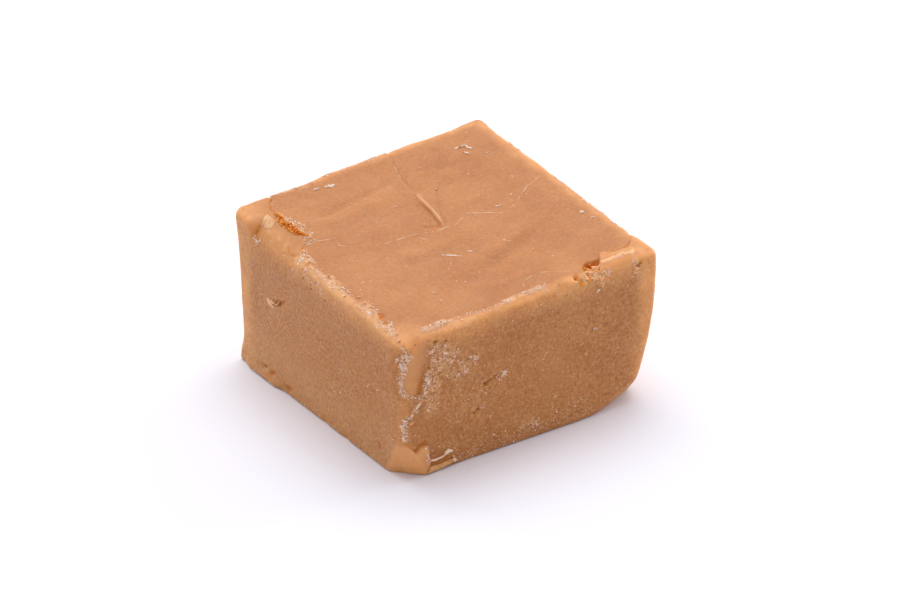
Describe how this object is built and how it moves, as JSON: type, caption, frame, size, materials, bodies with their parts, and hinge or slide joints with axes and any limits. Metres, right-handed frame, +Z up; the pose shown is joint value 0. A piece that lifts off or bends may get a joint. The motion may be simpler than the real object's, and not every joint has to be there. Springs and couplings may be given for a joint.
{
  "type": "peanut butter fudge",
  "caption": "Hand-cut square block of peanut butter fudge with a leaning top, a torn front edge, a crack and a crumbled pocket; stands on its flat foot.",
  "frame": {"origin": "middle of the block's box at foot level, on the surface it stands on", "axes": "+Z up, +X along the right cut wall towards the low knocked-off corner, +Y along the left cut wall towards the tallest corner"},
  "size_m": [0.0366, 0.0365, 0.023],
  "materials": {
    "fudge": null
  },
  "bodies": {
    "root": {"fudge_block": "fudge"}
  },
  "joints": []
}
